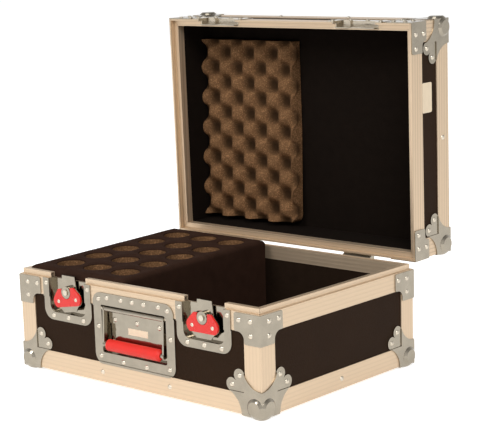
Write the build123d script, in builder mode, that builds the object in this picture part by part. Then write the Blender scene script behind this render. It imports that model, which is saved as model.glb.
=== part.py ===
from build123d import *
from math import atan2, cos, degrees, radians, sin
import os

# A wooden transport case for fifteen microphones, standing open, in millimetres.
#
# X runs along the front, Y from the front to the back, Z up. The origin is the middle of the
# floor board's underside. On every face, "depth" is counted inward from the outside of the
# aluminium edging, "drop" downward from the shoulder of the base and "rise" upward from the rim
# of the lid. The lid is drawn shut and then swung open about its hinge pins.

# ---- The case as a whole ----
case_width = 495.0          # outside the edging, along X
case_depth = 363.0          # outside the edging, along Y
base_height = 148.0         # underside of the edging to the shoulder
lid_height = 97.0           # rim to the top of the edging
parting_gap = 0.4           # shoulder to rim when the lid is shut
lid_open_angle = 89.0

# ---- Boards, lining and edging ----
board_thick = 9.0
lining_thick = 1.2
edging_leg = 30.5
edging_thick = 1.5
saw_gap = 0.3               # open mitre between two lengths of edging

# ---- The rails that meet at the parting line ----
rail_leg = 28.0             # outer leg of both rails
tongue_height = 8.0
tongue_inset = 3.5          # depth of the tongue's outer face
tongue_clearance = 0.8      # above the tongue when the lid is shut
lip_thick = 2.6             # lip of the lid's rail, outside the tongue
base_inner_leg = 14.0
lid_inner_leg = 22.0

# ---- Ball corners ----
ball_radius = 20.0
ball_inset = 12.0           # centre of the ball inward from each face
ball_stand = 5.0            # how far the flat of the ball stands outside each face
plate_thick = 1.5           # all riveted steel plates
petal_foot = 37.0           # where a petal leaves the case's edge
petal_waist = (45.0, 21.5)
lobe_radius = 10.0
lobe_far = 55.5             # the two rivet lobes of a petal, from the corner
lobe_near = 41.0
lobe_meeting = -63.0        # direction at which the petal's side runs into its lobe

# ---- Corner braces at the parting line ----
brace_reach = 47.0
brace_arm = 29.0
brace_setback = 1.0         # from the parting line
base_brace_length = 45.5
lid_brace_length = 38.5
brace_fillet = 12.0
brace_corner = 3.0
brace_rivets = ((17.5, 11.3), (39.0, 11.3), (17.5, 32.0))   # from the edge, from the parting line

# ---- Rivets ----
rivet_radius = 4.0
rivet_height = 2.2
small_rivet_radius = 3.0
small_rivet_height = 1.4
edging_rivet_offset = 70.0  # rivets of the front and back bottom edging, from the middle

# ---- Latch dishes ----
latch_brace_gap = 6.75      # from a latch's dish to the corner brace
latch_handle_gap = 5.25     # from a latch's dish to the handle's dish
dish_half_width = 52.5
dish_sheet = 1.2
dish_fit = 0.3              # round a dish in its cut-out
pocket_half_width = 39.5
pocket_radius = 12.0
pocket_depth = 8.0
dish_radius = 18.0
latch_pocket_drop = 53.0
latch_plate_drop = 65.5
keeper_pocket_rise = 30.0
keeper_plate_rise = 44.0
dish_rivet_pitch = 33.0
dish_rivet_edge = 7.0       # outer rivet row to the edge of the plate
dish_side_rivet = (46.0, 7.75)
tongue_side_fit = 0.75      # how much narrower than the pocket the gap in the tongue is
window_half_width = 16.0    # window that the hook enters
window_low = 1.9
window_high = 12.0

# ---- Latch mechanism, from the latch's pivot ----
latch_pivot_drop = 18.0
left_latch_turn = 10.0      # the left latch stands a little off its end stop
pivot_pin_radius = 2.5
pivot_head_radius = 4.5
pivot_head_height = 1.6
pin_fit = 0.05              # running fit of every pin, on its radius
rotor_radius = 9.5
rotor_proud = 3.2           # front of the rotor, outside the edging's face
rotor_back = 3.2
rotor_shaft_radius = 5.0
rotor_gap = 0.1
head_gap = 0.15
fold_pin_radius = 1.5
fold_pin_half_length = 17.0
fold_pin_height = 4.0
fold_pin_proud = 0.5
hook_thick = 1.5
hook_gap = 0.4              # behind the rotor
hook_half_width = 16.5
hook_tip_half_width = 14.0
hook_tail = 9.0
hook_top = 7.0              # above the shoulder
hook_nose = 2.4
hook_slot_clearance = 0.25
hook_travel_in = 2.5
hook_travel_down = 3.0
latch_turn = 180.0
wing_thick = 1.5
wing_grip_thick = 3.0
wing_top = 6.5
wing_bottom = -31.0
wing_notch_clearance = 0.7
wing_shoulder = (28.5, -6.0)
wing_bulge = (30.0, -12.0)
wing_waist = (21.0, -23.0)
wing_tab = (14.0, 18.0, -26.0)    # half widths of the tab at its foot and its top, and its height
wing_horn = 17.0
grip_bottom = -22.0
wing_rivet = (19.5, -12.5)

# ---- Handle and its dish ----
handle_dish_rim = 16.5      # beside the pocket
handle_dish_top = 8.0
handle_dish_lap = 1.5       # over the bottom edging
handle_dish_radius = 16.0
handle_sheet = 1.0
handle_pocket_top = 26.6
handle_pocket_bottom = 101.0
handle_pocket_radius = 3.4
handle_pocket_depth = 9.5
ledge_depth = 7.5           # floor of the upper part of the pocket
ledge_bottom = 55.0
handle_pivot_drop = 32.6
handle_rod_radius = 2.5
bail_tube_radius = 4.0
bail_eye_radius = 4.5
bail_arm_thick = 3.0
bail_arm_width = 7.0
bail_end_clearance = 3.5
handle_clearance = 0.5
grip_radius = 9.0
grip_drop = 87.6
grip_end_gap = 7.5          # from the end of the grip to the end of the bail
grip_chamfer = 3.5
grip_core_radius = 4.0
label_width = 41.0
label_height = 10.3
label_thick = 0.3
label_drop = 64.0
top_rivet_shares = (0.0, 0.354, 0.797)    # of the pocket's half width
top_rivet_drop = 14.8
side_rivets = ((12.0, 18.0), (9.0, 61.0), (12.0, 107.0))    # from the dish's side, and drop
bottom_rivet = (0.366, 111.0)    # share of the pocket's half width, and drop
ledge_rivet = (0.69, 49.0)       # the same

# ---- Lid hinges ----
hinge_inset = 111.0         # from the side of the case to the middle of a hinge
hinge_width = 54.0
hinge_behind = 7.5          # pin behind the back face
hinge_above = 3.0           # pin above the shoulder
hinge_pin_radius = 2.5
knuckle_radius = 5.0
knuckle_gap = 0.3
leaf_setback = 2.0          # from the parting line
leaf_rivet_spread = 34.0
leaf_rivet_height = 18.0
stop_gap = 0.3              # stop ears below the open lid's leaf
stop_reach = 8.0

# ---- Microphone block ----
block_clearance = 0.3       # between the plush and the lining
block_side_margin = 11.5    # beside the field of bores
block_back_gap = 11.0       # behind the block
block_front_lift = 13.0     # top of the plush above the shoulder, at the front
block_back_lift = 19.5      # the same at the back
block_edge_radius = 8.0
plush_thick = 2.0
plush_skirt = 32.0
divider_thick = 6.0
bore_diameter = 44.5
bore_pitch = 61.0
bore_columns = 3
bore_depth = 125.0
bore_field_shift = 5.0      # bores sit this far behind the middle of the block

# ---- Egg-crate pad in the lid ----
pad_left = 1.3              # beside the lining
pad_width = 199.0
pad_hinge_gap = 8.3         # lining to the pad, on the hinge side
pad_front_gap = 28.3        # the same on the side that opens
pad_thick = 26.0
pad_relief = 15.0           # from the bottom of a pit to the top of a bump
pad_pitch = 26.0            # from a bump to the next pit
pad_bump_radius = 12.5
pad_corner_radius = 12.0

# ---- Sticker on the lid's right side ----
sticker_length = 46.0
sticker_width = 25.0
sticker_radius = 3.0
sticker_thick = 0.3
sticker_behind_front = 115.5
sticker_rise = 42.0

# ---- Sizes that follow ----
x_out = case_width / 2
y_out = case_depth / 2
z_bottom = -edging_thick
z_shoulder = z_bottom + base_height
z_rim = z_shoulder + parting_gap
z_top = z_rim + lid_height
board_front = edging_thick
board_back = edging_thick + board_thick
inside = board_back + lining_thick
dish_back = pocket_depth + dish_sheet
dish_hole_half_width = pocket_half_width + dish_sheet + dish_fit
web_rise = tongue_height - parting_gap + tongue_clearance
hinge_y = y_out + hinge_behind
hinge_z = z_shoulder + hinge_above
tongue_gap = pocket_half_width - tongue_side_fit    # half the gap at each latch
latch_offset = x_out - brace_reach - latch_brace_gap - dish_half_width
handle_dish_half_width = latch_offset - dish_half_width - latch_handle_gap
handle_pocket_half_width = handle_dish_half_width - handle_dish_rim
grip_half_length = handle_pocket_half_width - bail_end_clearance - grip_end_gap
hinge_offset = x_out - hinge_inset
block_width = bore_columns * bore_pitch + 2 * block_side_margin
block_length = case_depth - 2 * inside - block_clearance - block_back_gap
bore_rows = int((block_length - 2 * block_edge_radius) / bore_pitch)
pad_length = case_depth - 2 * inside - pad_hinge_gap - pad_front_gap
latch_sides = {"left": (-latch_offset, left_latch_turn), "right": (latch_offset, 0.0)}


def face_plane(side, height):
    """An outside face: x to the right as seen from outside, y up and z outward."""
    origin, across, outward = {
        "front": ((0, -y_out, height), (1, 0, 0), (0, -1, 0)),
        "right": ((x_out, 0, height), (0, 1, 0), (1, 0, 0)),
        "back": ((0, y_out, height), (-1, 0, 0), (0, 1, 0)),
        "left": ((-x_out, 0, height), (0, -1, 0), (-1, 0, 0)),
    }[side]
    return Plane(origin=origin, x_dir=across, z_dir=outward)


def corner_frames(height, upward):
    """The four upright edges at one height: +x and +y run inward, +z up or down."""
    signs = ((-1, -1), (1, -1), (1, 1), (-1, 1)) if upward else ((-1, 1), (1, 1), (1, -1), (-1, -1))
    tilt = 0 if upward else 180
    return [Location((sx * x_out, sy * y_out, height), (tilt, 0, 90 * turn))
            for turn, (sx, sy) in enumerate(signs)]


def finish(piece, name):
    """Labels a finished piece and writes it to its own file."""
    piece.label = name
    export_step(piece, f"parts/{name}.step")


def finish_on_lid(piece, name):
    """The same for a piece of the lid, which is drawn shut and stands open."""
    pins = Axis((0, hinge_y, hinge_z), (-1, 0, 0))
    finish(piece.rotate(pins, lid_open_angle), name)


def ring(outer_depth, inner_depth, low, high):
    """A band that runs round the case between two depths and two heights."""
    with BuildSketch(Plane.XY.offset(low)) as outline:
        Rectangle(case_width - 2 * outer_depth, case_depth - 2 * outer_depth)
        Rectangle(case_width - 2 * inner_depth, case_depth - 2 * inner_depth, mode=Mode.SUBTRACT)
    extrude(outline.sketch, amount=high - low)


def mitre_cuts(low, high):
    """Saw cuts at 45 degrees that part a ring into its four lengths."""
    with BuildSketch(Plane.XY.offset(low)) as cuts:
        with Locations(*corner_frames(0, upward=True)):
            Rectangle(4 * edging_leg, saw_gap, rotation=45)
    extrude(cuts.sketch, amount=high - low, mode=Mode.SUBTRACT)


def block_at(face, x, low, high, half_width, outer_depth, inner_depth, mode=Mode.ADD):
    """A block on a face, between two heights and two depths."""
    with BuildSketch(face.offset(-inner_depth)) as outline:
        with Locations((x, (low + high) / 2)):
            Rectangle(2 * half_width, high - low)
    extrude(outline.sketch, amount=inner_depth - outer_depth, mode=mode)


def nearest_corner(outline, x, y):
    """The corner of a sketch that lies nearest to a point."""
    return outline.vertices().sort_by_distance((x, y, 0))[0]


os.makedirs("parts", exist_ok=True)
base_front = face_plane("front", z_shoulder)
lid_front = face_plane("front", z_rim)

# ============================== Boards of the base ==============================
base_board_low = z_bottom + edging_thick - z_shoulder
base_board_high = -edging_thick
front_board_half_width = x_out - board_back
side_board_half_width = y_out - board_front

with BuildPart() as base_front_board:
    block_at(base_front, 0, base_board_low, base_board_high, front_board_half_width,
             board_front, board_back)
    for x_latch, _ in latch_sides.values():
        block_at(base_front, x_latch, -latch_pocket_drop - dish_sheet - dish_fit, base_board_high,
                 dish_hole_half_width, board_front, board_back, Mode.SUBTRACT)
    block_at(base_front, 0, -handle_pocket_bottom - handle_sheet - dish_fit,
             -handle_pocket_top + handle_sheet + dish_fit,
             handle_pocket_half_width + handle_sheet + dish_fit, board_front, board_back,
             Mode.SUBTRACT)
finish(base_front_board.part, "base_front_board")

for side, half_width in (("back", front_board_half_width), ("left", side_board_half_width),
                         ("right", side_board_half_width)):
    with BuildPart() as base_board:
        block_at(face_plane(side, z_shoulder), 0, base_board_low, base_board_high, half_width,
                 board_front, board_back)
    finish(base_board.part, f"base_{side}_board")

with BuildPart() as base_floor_board:
    with BuildSketch(Plane.XY):
        Rectangle(case_width - 2 * board_back, case_depth - 2 * board_back)
    extrude(amount=board_thick)
finish(base_floor_board.part, "base_floor_board")

# ============================== Edging of the base ==============================
with BuildPart() as base_bottom_edging:
    ring(0, edging_thick, z_bottom, z_bottom + edging_leg)
    ring(0, edging_leg, z_bottom, z_bottom + edging_thick)
    mitre_cuts(z_bottom, z_bottom + edging_leg)
finish(base_bottom_edging.part, "base_bottom_edging")


def upright_edging(low, high):
    """The L-shaped lengths on the four upright edges."""
    with BuildSketch(Plane.XY.offset(low)) as legs:
        with Locations(*corner_frames(0, upward=True)):
            Rectangle(edging_leg, edging_leg, align=Align.MIN)
        Rectangle(case_width - 2 * edging_thick, case_depth - 2 * edging_thick, mode=Mode.SUBTRACT)
    extrude(legs.sketch, amount=high - low)


with BuildPart() as base_upright_edging:
    upright_edging(z_bottom + edging_leg, z_shoulder - rail_leg)
finish(base_upright_edging.part, "base_upright_edging")

# The base's rail: an outer leg, a shoulder, a hollow tongue and an inner leg. It is notched for
# the latches and for the top of the handle's pocket.
with BuildPart() as base_rail:
    ring(0, edging_thick, z_shoulder - rail_leg, z_shoulder)
    ring(0, tongue_inset + edging_thick, z_shoulder - edging_thick, z_shoulder)
    ring(tongue_inset, tongue_inset + edging_thick, z_shoulder, z_shoulder + tongue_height)
    ring(tongue_inset, inside, z_shoulder + tongue_height - edging_thick, z_shoulder + tongue_height)
    ring(board_back, inside, z_shoulder - base_inner_leg, z_shoulder + tongue_height)
    mitre_cuts(z_shoulder - rail_leg, z_shoulder + tongue_height)
    for x_latch, _ in latch_sides.values():
        block_at(base_front, x_latch, -rail_leg, 0, dish_hole_half_width, 0, board_back,
                 Mode.SUBTRACT)
        block_at(base_front, x_latch, 0, tongue_height, tongue_gap, 0, inside, Mode.SUBTRACT)
    block_at(base_front, 0, -rail_leg, -handle_pocket_top + handle_sheet + dish_fit,
             handle_pocket_half_width + handle_sheet + dish_fit, 0, edging_thick, Mode.SUBTRACT)
finish(base_rail.part, "base_rail")

with BuildPart() as base_lining:
    ring(board_back, inside, board_thick, z_shoulder - base_inner_leg)
    with BuildSketch(Plane.XY.offset(board_thick)):
        Rectangle(case_width - 2 * board_back, case_depth - 2 * board_back)
    extrude(amount=lining_thick)
finish(base_lining.part, "base_lining")

# ============================== Boards and edging of the lid ==============================
lid_board_low = web_rise + edging_thick
lid_board_high = lid_height - edging_thick

with BuildPart() as lid_front_board:
    block_at(lid_front, 0, lid_board_low, lid_board_high, front_board_half_width,
             board_front, board_back)
    for x_latch, _ in latch_sides.values():
        block_at(lid_front, x_latch, lid_board_low, keeper_pocket_rise + dish_sheet + dish_fit,
                 dish_hole_half_width, board_front, board_back, Mode.SUBTRACT)
finish_on_lid(lid_front_board.part, "lid_front_board")

for side, half_width in (("back", front_board_half_width), ("left", side_board_half_width),
                         ("right", side_board_half_width)):
    with BuildPart() as lid_board:
        block_at(face_plane(side, z_rim), 0, lid_board_low, lid_board_high, half_width,
                 board_front, board_back)
    finish_on_lid(lid_board.part, f"lid_{side}_board")

with BuildPart() as lid_top_board:
    with BuildSketch(Plane.XY.offset(z_top - board_back)):
        Rectangle(case_width - 2 * board_back, case_depth - 2 * board_back)
    extrude(amount=board_thick)
finish_on_lid(lid_top_board.part, "lid_top_board")

with BuildPart() as lid_top_edging:
    ring(0, edging_thick, z_top - edging_leg, z_top)
    ring(0, edging_leg, z_top - edging_thick, z_top)
    mitre_cuts(z_top - edging_leg, z_top)
finish_on_lid(lid_top_edging.part, "lid_top_edging")

with BuildPart() as lid_upright_edging:
    upright_edging(z_rim + rail_leg, z_top - edging_leg)
finish_on_lid(lid_upright_edging.part, "lid_upright_edging")

# The lid's rail: an outer leg, a thick lip, a web that closes over the tongue and an inner leg.
with BuildPart() as lid_rail:
    ring(0, edging_thick, z_rim, z_rim + rail_leg)
    ring(0, lip_thick, z_rim, z_rim + web_rise)
    ring(0, inside, z_rim + web_rise, z_rim + web_rise + edging_thick)
    ring(board_back, inside, z_rim + web_rise, z_rim + lid_inner_leg)
    mitre_cuts(z_rim, z_rim + rail_leg)
    for x_latch, _ in latch_sides.values():
        block_at(lid_front, x_latch, 0, rail_leg, dish_hole_half_width, 0, board_back,
                 Mode.SUBTRACT)
finish_on_lid(lid_rail.part, "lid_rail")

with BuildPart() as lid_lining:
    ring(board_back, inside, z_rim + lid_inner_leg, z_top - board_back)
    with BuildSketch(Plane.XY.offset(z_top - inside)):
        Rectangle(case_width - 2 * board_back, case_depth - 2 * board_back)
    extrude(amount=lining_thick)
finish_on_lid(lid_lining.part, "lid_lining")


# ============================== Ball corners ==============================
def petal_outline():
    """One petal of a ball corner, from the corner of its face along both edges."""
    meeting = radians(lobe_meeting)
    side_end = (lobe_far + lobe_radius * cos(meeting), lobe_near + lobe_radius * sin(meeting))
    with BuildLine() as edge:
        Polyline((0, petal_foot), (-plate_thick, petal_foot), (-plate_thick, -plate_thick),
                 (petal_foot, -plate_thick), (petal_foot, 0))
        ThreePointArc((petal_foot, 0), petal_waist, side_end)
        Polyline(side_end, (lobe_far, lobe_near), (lobe_near, lobe_far), side_end[::-1])
        ThreePointArc(side_end[::-1], petal_waist[::-1], (0, petal_foot))
    make_face(edge.edges())
    with Locations((lobe_far, lobe_near), (lobe_near, lobe_far)):
        Circle(lobe_radius)


# Drawn at the origin with the case in the octant of positive x, y and z. Each petal lies on the
# edging and steps down on to the board beyond it.
with BuildPart() as ball_corner:
    with Locations((ball_inset, ball_inset, ball_inset)):
        Sphere(ball_radius)
    with Locations((-ball_stand, -ball_stand, -ball_stand)):
        Box(3 * ball_radius, 3 * ball_radius, 3 * ball_radius, align=Align.MIN, mode=Mode.INTERSECT)
    Box(3 * ball_radius, 3 * ball_radius, 3 * ball_radius, align=Align.MIN, mode=Mode.SUBTRACT)
    for face in (Plane.XY, Plane.YZ, Plane.ZX):
        with BuildSketch(face.offset(-plate_thick)):
            petal_outline()
            with Locations((edging_leg + plate_thick, edging_leg + plate_thick)):
                Rectangle(lobe_far, lobe_far, align=Align.MIN, mode=Mode.SUBTRACT)
        extrude(amount=plate_thick)
        with BuildSketch(face):
            petal_outline()
            with Locations((edging_leg, edging_leg)):
                Rectangle(lobe_far, lobe_far, align=Align.MIN, mode=Mode.INTERSECT)
        extrude(amount=plate_thick)

with BuildPart() as base_ball_corners:
    with Locations(*corner_frames(z_bottom, upward=True)):
        add(ball_corner.part)
finish(base_ball_corners.part, "base_ball_corners")

with BuildPart() as lid_ball_corners:
    with Locations(*corner_frames(z_top, upward=False)):
        add(ball_corner.part)
finish_on_lid(lid_ball_corners.part, "lid_ball_corners")


# ============================== Corner braces ==============================
def corner_brace(length):
    """An angled plate on both faces of one upright edge, with +z away from the parting line."""
    with BuildPart() as brace:
        for face, outward in ((Plane.XZ, 1), (Plane.YZ, -1)):
            with BuildSketch(face) as outline:
                with BuildLine():
                    Polyline((-plate_thick, brace_setback), (brace_reach, brace_setback),
                             (brace_reach, rail_leg), (brace_arm, rail_leg), (brace_arm, length),
                             (-plate_thick, length), close=True)
                make_face()
                room = length - rail_leg - brace_corner - brace_setback
                fillet(nearest_corner(outline, brace_arm, rail_leg), min(brace_fillet, room))
                for spot in ((brace_reach, brace_setback), (brace_reach, rail_leg),
                             (brace_arm, length)):
                    fillet(nearest_corner(outline, *spot), brace_corner)
            extrude(amount=outward * plate_thick)
    return brace.part


base_brace = corner_brace(base_brace_length)
with BuildPart() as base_braces:
    with Locations(*corner_frames(z_shoulder, upward=False)):
        add(base_brace)
finish(base_braces.part, "base_braces")

lid_brace = corner_brace(lid_brace_length)
with BuildPart() as lid_braces:
    with Locations(*corner_frames(z_rim, upward=True)):
        add(lid_brace)
finish_on_lid(lid_braces.part, "lid_braces")


# ============================== Latch dishes ==============================
def latch_dish(face, x, away, pocket_reach, plate_reach):
    """A pressed dish that opens on the parting line. away is -1 in the base and 1 in the lid."""
    grow = (Align.CENTER, Align.MIN if away > 0 else Align.MAX)
    with BuildPart() as dish:
        with BuildSketch(face):
            with Locations((x, 0)):
                Rectangle(2 * dish_half_width, rail_leg + plate_thick, align=grow)
        extrude(amount=plate_thick)
        with BuildSketch(face.offset(-plate_thick)) as plate:
            with Locations((x, 0)):
                Rectangle(2 * dish_half_width, plate_reach, align=grow)
            for side in (-1, 1):
                fillet(nearest_corner(plate, x + side * dish_half_width, away * plate_reach),
                       dish_radius)
            with Locations((x, 0)):
                Rectangle(2 * dish_half_width, rail_leg, align=grow, mode=Mode.SUBTRACT)
        extrude(amount=plate_thick)
        with BuildSketch(face.offset(-dish_back)) as shell:
            with Locations((x, 0)):
                Rectangle(2 * (pocket_half_width + dish_sheet), pocket_reach + dish_sheet, align=grow)
            for side in (-1, 1):
                fillet(nearest_corner(shell, x + side * dish_half_width, away * plate_reach),
                       pocket_radius + dish_sheet)
        extrude(amount=dish_back)
        with BuildSketch(face.offset(-pocket_depth)) as pocket:
            with Locations((x, 0)):
                Rectangle(2 * pocket_half_width, pocket_reach, align=grow)
            for side in (-1, 1):
                fillet(nearest_corner(pocket, x + side * dish_half_width, away * plate_reach),
                       pocket_radius)
        extrude(amount=pocket_depth + plate_thick, mode=Mode.SUBTRACT)
    return dish.part


for side, (x_latch, _) in latch_sides.items():
    finish(latch_dish(base_front, x_latch, -1, latch_pocket_drop, latch_plate_drop),
           f"latch_dish_{side}")

# The keeper dishes in the lid have a window for the hook and are cut away beside the tongue.
relief_half_width = (pocket_half_width + dish_sheet - tongue_gap + tongue_side_fit) / 2
for side, (x_latch, _) in latch_sides.items():
    with BuildPart() as keeper_dish:
        add(latch_dish(lid_front, x_latch, 1, keeper_pocket_rise, keeper_plate_rise))
        block_at(lid_front, x_latch, window_low, window_high, window_half_width, 0, dish_back,
                 Mode.SUBTRACT)
        for end in (-1, 1):
            x_relief = x_latch + end * (tongue_gap - tongue_side_fit + relief_half_width)
            block_at(lid_front, x_relief, 0, web_rise, relief_half_width, lip_thick, dish_back,
                     Mode.SUBTRACT)
    finish_on_lid(keeper_dish.part, f"keeper_dish_{side}")

# ============================== Handle dish ==============================
handle_plate_bottom = base_height - edging_leg + handle_dish_lap
edging_step = base_height - edging_leg - plate_thick      # where the plate climbs the edging

with BuildPart() as handle_dish:
    with BuildSketch(base_front):
        with Locations((0, -(handle_dish_top + handle_plate_bottom) / 2)):
            RectangleRounded(2 * handle_dish_half_width, handle_plate_bottom - handle_dish_top,
                             handle_dish_radius)
        with Locations((0, -(rail_leg + plate_thick + edging_step) / 2)):
            Rectangle(2 * handle_dish_half_width, edging_step - rail_leg - plate_thick,
                      mode=Mode.SUBTRACT)
    extrude(amount=plate_thick)
    with BuildSketch(base_front.offset(-plate_thick)):
        with Locations((0, -(handle_dish_top + handle_plate_bottom) / 2)):
            RectangleRounded(2 * handle_dish_half_width, handle_plate_bottom - handle_dish_top,
                             handle_dish_radius)
        with Locations((0, -(rail_leg + edging_step + plate_thick) / 2)):
            Rectangle(2 * handle_dish_half_width, edging_step + plate_thick - rail_leg,
                      mode=Mode.INTERSECT)
    extrude(amount=plate_thick)
    for wall_top, depth in ((handle_pocket_top, ledge_depth), (ledge_bottom, handle_pocket_depth)):
        with BuildSketch(base_front.offset(-depth - handle_sheet)):
            with Locations((0, -(wall_top + handle_pocket_bottom) / 2)):
                RectangleRounded(2 * (handle_pocket_half_width + handle_sheet),
                                 handle_pocket_bottom - wall_top + 2 * handle_sheet,
                                 handle_pocket_radius + handle_sheet)
        extrude(amount=depth + handle_sheet)
    for wall_top, depth in ((handle_pocket_top, ledge_depth), (ledge_bottom, handle_pocket_depth)):
        with BuildSketch(base_front.offset(-depth)):
            with Locations((0, -(wall_top + handle_pocket_bottom) / 2)):
                RectangleRounded(2 * handle_pocket_half_width, handle_pocket_bottom - wall_top,
                                 handle_pocket_radius)
        extrude(amount=depth + plate_thick, mode=Mode.SUBTRACT)
finish(handle_dish.part, "handle_dish")

with BuildPart() as handle_label:
    block_at(base_front, 0, -label_drop - label_height / 2, -label_drop + label_height / 2,
             label_width / 2, handle_pocket_depth - label_thick, handle_pocket_depth)
finish(handle_label.part, "handle_label")

# ============================== Handle ==============================
handle_pivot_depth = ledge_depth - handle_clearance - bail_eye_radius
pivot_section = Plane(origin=(0, -y_out, z_shoulder), x_dir=(0, 1, 0), z_dir=(1, 0, 0))
pivot_spot = (handle_pivot_depth, -handle_pivot_drop)
core_spot = (0, -grip_drop)
bail_half_width = handle_pocket_half_width - bail_end_clearance
arm_lean = degrees(atan2(core_spot[1] - pivot_spot[1], core_spot[0] - pivot_spot[0]))
arm_length = (Vector(*core_spot) - Vector(*pivot_spot)).length


def rod(plane, spot, radius, half_length, mode=Mode.ADD):
    """A rod along a section plane's normal, centred on the plane."""
    with BuildSketch(plane) as section:
        with Locations(spot):
            Circle(radius)
    extrude(section.sketch, amount=half_length, both=True, mode=mode)


with BuildPart() as handle_pivot_rod:
    rod(pivot_section, pivot_spot, handle_rod_radius, handle_pocket_half_width)
finish(handle_pivot_rod.part, "handle_pivot_rod")

with BuildPart() as handle_bail:
    rod(pivot_section, pivot_spot, bail_tube_radius, bail_half_width)
    rod(pivot_section, core_spot, grip_core_radius, bail_half_width)
    for end in (-1, 1):
        inner_end = end * bail_half_width - (bail_arm_thick if end > 0 else 0)
        with BuildSketch(pivot_section.offset(inner_end)):
            with Locations(pivot_spot):
                Circle(bail_eye_radius)
            with Locations(core_spot):
                Circle(bail_eye_radius)
            middle = ((pivot_spot[0] + core_spot[0]) / 2, (pivot_spot[1] + core_spot[1]) / 2)
            with Locations(middle):
                Rectangle(arm_length, bail_arm_width, rotation=arm_lean)
        extrude(amount=bail_arm_thick)
    rod(pivot_section, pivot_spot, handle_rod_radius + pin_fit, bail_half_width, Mode.SUBTRACT)
finish(handle_bail.part, "handle_bail")

with BuildPart() as handle_grip:
    rod(pivot_section, core_spot, grip_radius, grip_half_length)
    ends = handle_grip.faces().filter_by(Axis.X).edges()
    chamfer(ends, grip_chamfer)
    rod(pivot_section, core_spot, grip_core_radius, grip_half_length, Mode.SUBTRACT)
finish(handle_grip.part, "handle_grip")

# ============================== Latches ==============================
fold_depth = -fold_pin_proud
hook_front = rotor_back + hook_gap
shaft_end = pocket_depth - rotor_gap
hook_top_height = hook_top + latch_pivot_drop
hook_direction = Vector(0, hook_travel_in, -hook_travel_down)
rotor_height = rotor_proud + rotor_back

with BuildPart() as latch_pivots:
    for x_latch, _ in latch_sides.values():
        for radius, outer, inner in (
                (pivot_pin_radius, -rotor_proud - head_gap, pocket_depth),
                (pivot_head_radius, -rotor_proud - head_gap - pivot_head_height,
                 -rotor_proud - head_gap)):
            with BuildSketch(base_front.offset(-inner)):
                with Locations((x_latch, -latch_pivot_drop)):
                    Circle(radius)
            extrude(amount=inner - outer)
finish(latch_pivots.part, "latch_pivots")


def fold_pin(latch, radius, half_length, mode=Mode.ADD):
    """The pin on which the wing folds, across the latch above its pivot."""
    across = Plane(origin=latch.from_local_coords((0, 0, 0)), x_dir=latch.y_dir, z_dir=latch.x_dir)
    rod(across, (fold_pin_height, -fold_depth), radius, half_length, mode)


def wing_outline(bottom):
    """The wing seen from the front, down to a given height, with its notch for the rotor."""
    tab_foot, tab_top, tab_height = wing_tab
    with BuildLine() as half:
        Polyline((0, wing_bottom), (tab_foot, wing_bottom), (tab_top, tab_height), wing_waist)
        ThreePointArc(wing_waist, wing_bulge, wing_shoulder)
        Polyline(wing_shoulder, (wing_horn, wing_top), (0, wing_top), (0, wing_bottom))
    make_face(half.edges())
    mirror(about=Plane.YZ)
    notch = rotor_radius + wing_notch_clearance
    Circle(notch, mode=Mode.SUBTRACT)
    Rectangle(2 * notch, 2 * wing_top, align=(Align.CENTER, Align.MIN), mode=Mode.SUBTRACT)
    with Locations((0, bottom)):
        Rectangle(4 * wing_horn, 4 * wing_horn, align=(Align.CENTER, Align.MAX), mode=Mode.SUBTRACT)


def rivet_head(radius, height):
    """The domed head of a rivet, standing on the XY plane."""
    dome_radius = (radius ** 2 + height ** 2) / (2 * height)
    with BuildPart() as head:
        with BuildSketch(Plane.XZ):
            with BuildLine():
                Line((0, 0), (radius, 0))
                RadiusArc((radius, 0), (0, height), -dome_radius)
                Line((0, height), (0, 0))
            make_face()
        revolve(axis=Axis.Z)
    return head.part


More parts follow.
